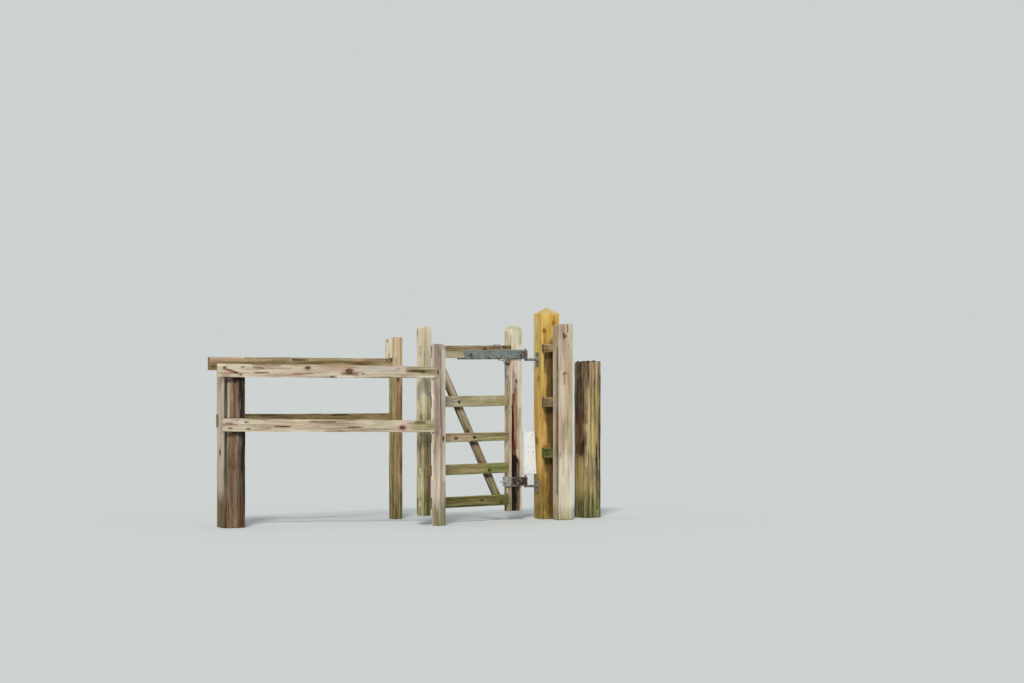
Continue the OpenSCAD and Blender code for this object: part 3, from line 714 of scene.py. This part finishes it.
# On the heel stile, the black in the split and the dark spot on its left side just under the strap are painted
# shade. The dark lines along the lower edges of the leaf's lower rails, the dark bands across the brace just under
# the rails, and the dark on one side of the brace are painted shadow.
STAINS_AND_LIGHT |= chalked("""
heel_stile | all: lichen 1150,0 1225,0 40 0.35 | left: algae 1060,31 1160,31 6 0.7; bleach 1106,-12 1120,-12 9 0.95
    | front: blush 900,10 1090,10 20 0.3; bleach 700,-30 1080,-26 24 0.7 | left: umber 150,-8 880,-12 22 0.4;
    silver 860,-10 970,-14 26 0.5; soot 974,-24 974,14 11 0.9 | front: tannin 730,31 965,30 4 0.7;
    tannin 770,12 905,17 4 0.6; clay 420,10 800,8 19 0.85; umber 780,6 840,-2 8 0.4; bleach 960,10 1160,10 40 0.35
    | left: tannin 780,22 950,-14 5 0.4; blush 200,26 760,26 10 0.5 | front: seam 400,33 770,30 10 0.95
    | deep: seam 340,30 800,30 60 1 | front: soot 330,28 390,30 13 0.75; soot 0,8 322,8 33 1
    | deep: soot 0,8 330,16 50 1 | back: umber 0,0 1100,0 50 0.35 | left: moss 0,0 20,0 120 0.45;
    rust 150,0 196,0 30 0.4; umber 0,0 120,0 70 0.4; bleach 130,-6 146,-6 10 0.6
shutting_stile | left: tannin 1160,-26 1206,-35 7 0.75; paste 600,0 1225,0 44 0.5; bleach 780,0 1225,0 40 0.4
    | front: umber 880,-30 1180,-32 5 0.4 | all: algae 0,0 540,0 160 0.4 | front: umber 0,6 460,6 40 0.35;
    umber 0,12 640,12 24 0.3; umber 0,-14 780,-14 20 0.45 | left: umber 300,16 640,14 18 0.4
    | all: moss 0,0 40,0 90 0.5 | back: umber 0,0 1200,0 40 0.3
gate_rail_top | all: umber 0,0 843,0 30 0.25 | front: umber 60,24 700,26 14 0.5; bleach 60,-16 330,-18 16 0.35;
    soot 560,26 740,30 9 0.5; algae 100,-14 330,-16 12 0.35
gate_rail_second | front: silver 240,4 310,2 20 0.6; umber 0,-35 843,-35 4 0.4; soot 60,-36 370,-36 4 0.8;
    bleach 520,12 640,12 12 0.25; algae 560,0 760,0 24 0.25
gate_rail_third | front: umber 60,20 760,20 7 0.4; algae 500,-4 760,-6 22 0.55; blush 230,-2 420,-4 18 0.35;
    soot 430,-25 520,-25 4 0.8
gate_rail_fourth | front: blush 220,0 520,0 20 0.25; algae 600,0 780,0 34 0.55 | all: moss 0,0 843,0 20 0.25
    | front: soot 540,-34 650,-34 4 0.8
gate_rail_bottom | all: moss 0,0 843,0 20 0.6 | front: umber 200,6 620,8 20 0.4; soot 60,-30 760,-30 8 0.5
gate_brace | all: umber 0,0 1180,0 30 0.3 | front: tannin 500,-20 1000,-22 9 0.4 | right: soot 0,0 1180,0 20 0.7
    | front: umber 200,28 1000,28 6 0.5; moss 860,0 1180,0 30 0.35; bleach 130,10 360,8 14 0.35;
    tannin 690,16 870,14 18 0.4; soot 377,-31 414,31 8 0.85; soot 642,-31 680,31 8 0.85; soot 892,-31 928,31 8 0.85
""")
# The tenon ends inside the heel are painted black as shade; the other ends are painted pale.
for name in ("top", "second", "third", "fourth", "bottom"):
    STAINS_AND_LIGHT[f"gate_rail_{name}"] += [("soot", "all", 760, 0, 843, 0, 3, 1.0), ("paste", "all", 0, 0, 3, 0, 5, 0.9)]
print("leaf marks:", len(STAINS_AND_LIGHT["heel_stile"]), "on the heel stile")

# %% [markdown]
# Iron and oak's tannin make ink: each nail and bolt in wet oak has a black halo that runs along the grain. So the
# places of the fasteners have to be known before the timbers are marked. A fastener is chalked on the piece that
# it goes into. A nut is chalked like its bolt, with the name of the piece that it sits on from behind.

# %% Where the fasteners go
FASTENERS = [(row[0], on, *row[-3:], *row[1:-3]) for on, rows in chalked("""
front_top_rail | front: nail 164,28; nail 150,-22; nail 48,26
front_lower_rail | front: nail 150,22; nail 164,-20; nail 50,-16
rear_top_rail | front: nail 1414,10; nail 1383,14
rear_post_board | left: nail 16,14; nail 112,-8
front_shutting_post | left: nail 985,18
side_rail_top | front: nail 14,10; nail 18,-11
side_rail_middle | front: nail 16,12; nail 13,-14
side_rail_bottom | front: nail 15,14; nail 18,-12
gate_rail_second | front: cup_bolt 324,-3; small_nut gate_brace 324,-3
gate_rail_third | front: cup_bolt 456,0; small_nut gate_brace 456,0
gate_rail_fourth | front: cup_bolt 584,-12; small_nut gate_brace 584,-12
gate_rail_bottom | front: cup_bolt 687,-16; small_nut gate_brace 687,-16
top_strap | front: washer 47,2; strap_bolt 47,2; washered_nut top_strap 47,2; washer 478,-7; strap_bolt 478,-7;
    washered_nut top_strap 478,-7
bottom_strap | foot: adjusting_nut 0,-14
top_hook | foot: coach_screw -45,-12; coach_screw -45,12; coach_screw 19,-12; coach_screw 19,12
bottom_hook | foot: coach_screw -45,-12; coach_screw -45,12; coach_screw 19,-12; coach_screw 19,12
notice_plate | front: plate_screw 104,118; plate_screw 112,0; plate_screw 118,-118
""").items() for row in rows]


def ink(name, before=7, after=11, reach=7.5, amount=0.5):
    """The halos of the fasteners on one timber, as stains."""
    return [
        ("soot", side, a - before, b, a + after, b, reach, amount)
        for _, on, side, a, b, *_ in FASTENERS if on == name
    ]


print("fasteners:", len(FASTENERS))

# %% Set up the timbers
FRONT_LEG, REAR_LEG, LEAF, BRACE = -14.0, 14.02, 17.0, -60.65  # degrees
PEN_BOW, LEAF_BOW = 3.0, 1.5  # millimetres
SLOTS = {"treated_pine": "new_pine", "rotten_oak": "dark_weathered_wood", "brown_oak": "dark_weathered_wood"}


def work(seed, name, turn, roll, finish, hollow, body="fixed_frame", bow=PEN_BOW):
    """Takes one timber to the bench, works it as noted, and puts it back."""
    piece, home = on_bench(name, turn, roll)
    wear(piece, seed, hollow, bow)
    if name in CLEFTS:
        cleave(piece, CLEFTS[name])
    mark(piece, seed, KNOTS.get(name, ()), STAINS_AND_LIGHT.get(name, []) + ink(name))
    set_up(piece, home, FINISH[finish], SLOTS.get(finish, "weathered_wood"), body, name)


for seed, row in enumerate((
    ("hanging_post", 0, 90, "treated_pine", 1.2),
    ("side_post", 0, 90, "bleached_oak", 2.6),
    ("old_post", 7.5, 90, "rotten_oak", 7.0),
    ("apex_post", 0, 90, "brown_oak", 4.0),
    ("front_shutting_post", 32, 90, "pinkish_oak", 2.4),
    ("rear_shutting_post", 11, 90, "tan_oak", 2.4),
    ("rear_post_board", 11, 90, "smooth_oak", 1.5),
    ("front_top_rail", FRONT_LEG, 0, "silvered_oak", 3.4),
    ("front_lower_rail", FRONT_LEG, 0, "silvered_oak", 3.4),
    ("rear_top_rail", REAR_LEG, 0, "browned_oak", 3.4),
    ("rear_lower_rail", REAR_LEG, 0, "browned_oak", 3.4),
    ("side_rail_top", 0, 0, "damp_oak", 2.0),
    ("side_rail_middle", 0, 0, "damp_oak", 2.0),
    ("side_rail_bottom", 0, 0, "damp_oak", 2.0),
    ("notice_batten", 0, 90, "mossy_oak", 1.5),
), start=1):
    work(seed, *row)
for seed, (name, roll, finish, hollow) in enumerate((
    ("heel_stile", 90, "pale_oak", 2.4),
    ("shutting_stile", 90, "smooth_oak", 2.4),
    ("gate_rail_top", 0, "mossy_oak", 2.4),
    ("gate_rail_second", 0, "mossy_oak", 2.0),
    ("gate_rail_third", 0, "mossy_oak", 2.0),
    ("gate_rail_fourth", 0, "algae_oak", 2.0),
    ("gate_rail_bottom", 0, "algae_oak", 2.0),
    ("gate_brace", BRACE, "mossy_oak", 2.0),
), start=21):
    work(seed, name, LEAF, roll, finish, hollow, "gate", LEAF_BOW)

# %% [markdown]
# The ironwork is hot-dip galvanised. Its zinc has gone dull, so it is only half as bright as bare metal. The zinc
# set in crystals about 10 mm wide, which still show as faint patches, and rust creeps in round the bolts. Rusted
# iron has no metal left at its surface: it is brown, rough and pitted.

# %% Metals
def dull_metal(name, dark, mid, pale, metal, rough, pitted):
    """Dull metal with crystal patches, scratches and stains. Its pits are this deep, in millimetres."""
    material, tree, skin = blank(name)
    grain = noted(tree, "grain", "Vector")
    crystals = node(tree, "TexVoronoi", {"Vector": grain, "Scale": 105.0}, out="Color")
    crystals = node(tree, "RGBToBW", {"Color": crystals})
    bloom = clouds(tree, grain, 5.0, 34.0, Roughness=0.65)
    scratches = clouds(tree, grain, 2.0, stretch=(14, 420))
    tone = maths(tree, "MULTIPLY_ADD", crystals, 0.22, bloom)
    tone = maths(tree, "MULTIPLY_ADD", scratches, 0.3, tone)
    tone = spread(tree, tone, 0.58, 0.98)
    colour = ramp(tree, tone, (0.0, dark), (0.5, mid), (1.0, pale))
    # On the straps the noted colour is painted shade and painted highlight as well as rust and dirt.
    broken = spread(tree, bloom, 0.35, 0.62, 1.7, 0.35)
    metal_stain_and_light = maths(tree, "MULTIPLY", noted(tree, "stain_and_light", "Alpha"), broken, clamp=True)
    shade = spread(tree, scratches, 0.3, 0.7, 0.7, 1.25)
    stain_and_light = node(tree, "VectorMath", {0: noted(tree, "stain_and_light", "Color"), "Scale": shade}, operation="SCALE")
    tree.links.new(blend(tree, metal_stain_and_light, colour, stain_and_light), skin.inputs["Base Color"])
    tree.links.new(spread(tree, metal_stain_and_light, to_low=metal, to_high=0.0), skin.inputs["Metallic"])
    worn = spread(tree, tone, to_low=min(rough + 0.12, 1.0), to_high=rough - 0.1)
    worn = maths(tree, "MULTIPLY_ADD", metal_stain_and_light, 0.3, worn, clamp=True)
    tree.links.new(worn, skin.inputs["Roughness"])
    pits = clouds(tree, grain, 3.0, 520.0)
    height = maths(tree, "MULTIPLY_ADD", bloom, 1.6, pits)
    bump = node(tree, "Bump", {"Height": height, "Strength": 0.6, "Distance": pitted / 1000})
    tree.links.new(bump, skin.inputs["Normal"])
    return material


ZINC, BRIGHT, BLACK, RUST, WHITE = (dull_metal(*row) for row in (
    ("galvanised_steel", "667070", "838d8b", "9da6a5", 0.45, 0.6, 0.4),
    ("zinc_wire", "8f938c", "b3b6ad", "d0d2ca", 0.4, 0.5, 0.3),
    ("blackened_steel", "1d2020", "33383a", "545b5c", 0.5, 0.55, 0.6),
    ("rusted_iron", "261b16", "4a3123", "6d452b", 0.15, 0.85, 1.2),
    ("white_enamel", "e0e6e9", "ecf1f3", "f6f9fb", 0.0, 0.45, 0.05),
))
print("metals:", [metal.name for metal in (ZINC, BRIGHT, BLACK, RUST, WHITE)])

# %% [markdown]
# Forged and rolled steel has no sharp edge, so each construction solid gets its edges rounded by a Bevel, which
# keeps the shape. Remeshing as for the timbers would blur plates this thin. The flats are cut into small squares,
# because the marks need points to sit on, and then dented a little.

# %% Forge the ironwork
dents = cloud_pattern("dents", 0.03)


def forge(name, turn, seed, material, slot, body, marks, square=6, bevel=1.0):
    """Rounds, cuts and dents a copy of a construction solid, and puts it back. Lengths in millimetres."""
    piece, home = on_bench(name, turn, 0)
    edit(piece, (bpy.ops.mesh.dissolve_limited, {"angle_limit": math.radians(2)}))
    shape(piece, "BEVEL", width=bevel / 1000, segments=2, limit_method="ANGLE", angle_limit=math.radians(35))
    low, high = points(piece).min(0), points(piece).max(0)
    cuts = []
    for axis, out in enumerate(((1, 0, 0), (0, 1, 0))):
        for at in np.arange(low[axis] + 0.004, high[axis] - 0.003, square / 1000):
            cuts.append((bpy.ops.mesh.bisect, {"plane_co": [float(at) * o for o in out], "plane_no": out}))
    edit(piece, *cuts)
    shape(piece, "DISPLACE", texture=dents, texture_coords="LOCAL", mid_level=1.0, strength=0.0008)
    mark(piece, seed, (), marks)
    set_up(piece, home, material, slot, body, name)


# The dark lower edge of the top strap is painted shade with dirt, and its pale top edge is a painted highlight. The
# dark front of the bottom strap, where it crosses the heel's split, is painted shade with rust.
MARKS = chalked("""
top_strap | front: umber 0,-29 520,-29 7 0.6; soot 0,-31 520,-31 4 0.7; silver 0,31 520,31 4 0.3;
    algae 0,0 230,0 60 0.12; soot 185,-16 200,-24 10 0.6; umber 47,-16 47,-31 6 0.5; umber 478,-20 478,-31 6 0.5;
    umber 505,0 574,0 26 0.55; soot 502,20 516,-24 8 0.6 | back: umber 47,0 60,0 20 0.3
    | front: soot 47,2 48,2 22 0.35; soot 478,-7 479,-7 22 0.35
bottom_strap | front: umber 34,0 176,0 34 0.95; soot 26,0 128,0 34 0.9; rust 140,0 176,0 30 0.4
    | back: umber 30,0 150,0 30 0.6 | foot: umber 0,-20 0,-31 10 0.4
top_hook | all: umber 0,0 70,0 30 0.3 | front: rust 88,-30 100,-59 10 0.5
bottom_hook | all: rust 0,0 70,0 30 0.45 | front: rust 88,-30 100,-59 10 0.6
notice_plate | front: straw 30,-128 42,-104 14 0.3; umber 0,147 130,147 3 0.4; moss 10,-147 137,-147 5 0.5
    | back: umber 60,0 80,0 120 0.12
""")
forge("top_strap", LEAF, 41, ZINC, "galvanised_steel", "gate", MARKS["top_strap"])
forge("bottom_strap", LEAF, 42, BRIGHT, "galvanised_steel", "gate", MARKS["bottom_strap"])
forge("top_hook", 0, 43, ZINC, "galvanised_steel", "fixed_frame", MARKS["top_hook"])
forge("bottom_hook", 0, 44, ZINC, "galvanised_steel", "fixed_frame", MARKS["bottom_hook"])
forge("notice_plate", 0, 45, WHITE, "white_plate", "fixed_frame", MARKS["notice_plate"], square=8, bevel=0.6)

# %% [markdown]
# The fasteners are modelled once each, standing on Z = 0 with the head upwards, and copied. A nail or a
# cup-headed bolt shows half of a flattened ball. A nut is a six-sided bar on a washer, and the thread that stands
# out of it is a stack of short cones.

# %% Patterns of the fasteners
PATTERNS = {}


def bar(radius, foot, head, sides=32, tip=None):
    """An upright bar from foot to head, in millimetres. With a tip it narrows to that radius."""
    bpy.ops.mesh.primitive_cone_add(
        vertices=sides, radius1=radius / 1000, radius2=(radius if tip is None else tip) / 1000,
        depth=(head - foot) / 1000, location=(0, 0, (foot + head) / 2000),
    )
    return bpy.context.object


def cup(radius, foot, height):
    """The upper half of a ball, pressed to this height, in millimetres."""
    bpy.ops.mesh.primitive_uv_sphere_add(segments=32, ring_count=16, radius=radius / 1000)
    piece = bpy.context.object
    halving = {"plane_co": (0, 0, 0), "plane_no": (0, 0, 1), "use_fill": True, "clear_inner": True}
    edit(piece, (bpy.ops.mesh.bisect, halving))
    piece.scale = (1, 1, height / radius)
    piece.location = (0, 0, foot / 1000)
    return piece


def thread(turns):
    """So many turns of a 12 mm bolt's thread, above its nut."""
    return [bar(6.0, 10 + 1.5 * i, 11.6 + 1.5 * i, tip=5.3) for i in range(turns)]


def pattern(name, metal, *parts, bevel=0.4):
    """Joins the parts of a fastener, rounds their edges and keeps it under its name."""
    pick(*parts)
    bpy.ops.object.join()
    bpy.ops.object.transform_apply(location=True, rotation=True, scale=True)
    piece = bpy.context.object
    piece.name = name
    shape(piece, "BEVEL", width=bevel / 1000, segments=2, limit_method="ANGLE", angle_limit=math.radians(50))
    PATTERNS[name] = piece, metal


pattern("washer", ZINC, bar(17, -1, 2.5))
pattern("strap_bolt", BLACK, bar(9.5, -0.5, 3), cup(10.5, 2.9, 5.5))
pattern("washered_nut", BRIGHT, bar(15, -1, 2.5), bar(11, 2.4, 10.5, sides=6), *thread(6))
pattern("adjusting_nut", BRIGHT, bar(18, -1, 3), bar(12, 2.9, 12, sides=6), *thread(23))
pattern("cup_bolt", RUST, cup(10, -0.5, 5.5))
pattern("small_nut", RUST, bar(12, -1, 2), bar(8.5, 1.9, 8, sides=6), bar(5, 7.5, 12))
pattern("coach_screw", ZINC, bar(7, -0.5, 1.2), bar(5.8, 1.1, 5.2, sides=6))
pattern("nail", RUST, cup(4.8, -0.6, 2.2), bevel=0.2)
pattern("plate_screw", ZINC, cup(4.2, -0.3, 2.2), bevel=0.2)
print("patterns:", {name: len(piece.data.polygons) for name, (piece, _) in PATTERNS.items()})

# %% [markdown]
# Worn wood isn't where the drawing has its surface. So each fastener is held in front of its timber and pushed
# straight in until it meets the wood, by a ray. A through bolt gets its nut in the same way from behind.

# %% Set the fasteners
FIRST_SEED = 60
TURN = 37  # degrees from one fastener to the next, so that no two nuts stand alike
RAY_START = 0.3  # metres in front of the timber's middle


def seat(on, side, a, b, back=None):
    """The pose of a fastener at a, b on a side of a placed piece, or on the piece behind it, and its body."""
    piece, home, body = PLACED[on]
    plane, out = SIDES[side]
    start = Vector((0, 0, 0))
    start[plane[0]], start[plane[1]] = a / 1000, b / 1000
    way = (home.to_3x3() @ Vector(out)).normalized()
    if back:
        piece, way = PLACED[back][0], -way
    met, where, _, _ = piece.ray_cast(home @ start + way * RAY_START, -way)
    assert met, (on, side, a, b)
    return Matrix.Translation(where) @ way.to_track_quat("Z", "Y").to_matrix().to_4x4(), body


bpy.context.view_layer.update()
for number, (kind, *row) in enumerate(FASTENERS, start=1):
    model, metal = PATTERNS[kind]
    piece = add(f"{kind}_{number}", model.data.copy())
    mark(piece, FIRST_SEED + number)
    pose, body = seat(*row)
    spun = Matrix.Rotation(math.radians(TURN * number), 4, "Z")
    set_up(piece, pose @ spun, metal, "galvanised_steel", body)
for model, _ in PATTERNS.values():
    bpy.data.objects.remove(model)

# %% [markdown]
# Two pieces are of wire: a staple in the side post, and a tie that is wound twice round the strap and the top
# rail and twisted. Bending a bar in edit mode would take many steps, and a curve with a round bevel is a wire
# already. It is made a mesh before it is set.

# %% Wire
def wire(name, path, radius, pose, metal, body, seed):
    """A round wire along a path of points. Lengths in millimetres."""
    line = bpy.data.curves.new(name, "CURVE")
    line.dimensions = "3D"
    line.bevel_depth = radius / 1000
    line.bevel_resolution = 3
    line.use_fill_caps = True
    run = line.splines.new("NURBS")
    run.points.add(len(path) - 1)
    for point, place in zip(run.points, path):
        point.co = (*(v / 1000 for v in place), 1)
    run.order_u = 3
    run.use_endpoint_u = True
    run.resolution_u = 5
    piece = add(name, line)
    pick(piece)
    bpy.ops.object.convert(target="MESH")
    mark(piece, seed)
    set_up(piece, pose, metal, "galvanised_steel", body)


pose, body = seat("side_post", "front", 972.5, 12)
pose = Matrix.Translation(pose.translation) @ PLACED["side_post"][1].to_3x3().to_4x4()
half = [(-6.5, 11, -8), (-6.5, 11, 0), (-6.5, 11, 4.5), (-5, 8.5, 6)]
path = [*half, (0, 0, 6.4), *((-x, -y, z) for x, y, z in reversed(half))]
wire("staple", path, 1.9, pose, RUST, body, 120)

# %% [markdown]
# The tie's path is in the leaf's own frame: away from the hinge to the left, up, and out of the front face. Its
# ends are twisted round one another, with three turns in 44 mm.

# %% The wire tie
PIN_LINE = (-0.155, 0, 0)
TWIST_RADIUS, TWIST_STEPS, ROUND_STEP = 2.8, 16, 9
leaf = Matrix.Translation(PIN_LINE) @ own_axes(LEAF, 0)
twist = []
for half_turn in (0, math.pi):
    steps = [(i / TWIST_STEPS, 6 * math.pi * i / TWIST_STEPS + half_turn) for i in range(TWIST_STEPS + 1)]
    twist.append([(
        -226 + 22 * t + TWIST_RADIUS * math.cos(a) * 0.89, 1050 - 44 * t + TWIST_RADIUS * math.cos(a) * 0.45,
        42 + TWIST_RADIUS * math.sin(a),
    ) for t, a in steps])
rounds = [(x + off, y, z) for off in (0, ROUND_STEP) for x, y, z in (
    (-234, 1062, 44.5), (-240, 1078, 46.5), (-249, 1110, 46.5), (-257, 1142, 46), (-261, 1155, 43),
    (-262, 1160, 36), (-256, 1161, 0), (-248, 1160, -36), (-244, 1154, -44), (-234, 1128, -46.5),
    (-212, 1086, -46.5), (-204, 1062, -44), (-210, 1057, -20), (-224, 1056, 20),
)]
path = [(-202, 1000, 46), *reversed(twist[0]), *rounds, *twist[1], (-200, 1004, 38)]
wire("wire_tie", path, 2.0, leaf, BRIGHT, "gate", 121)
bpy.data.objects.remove(guide)
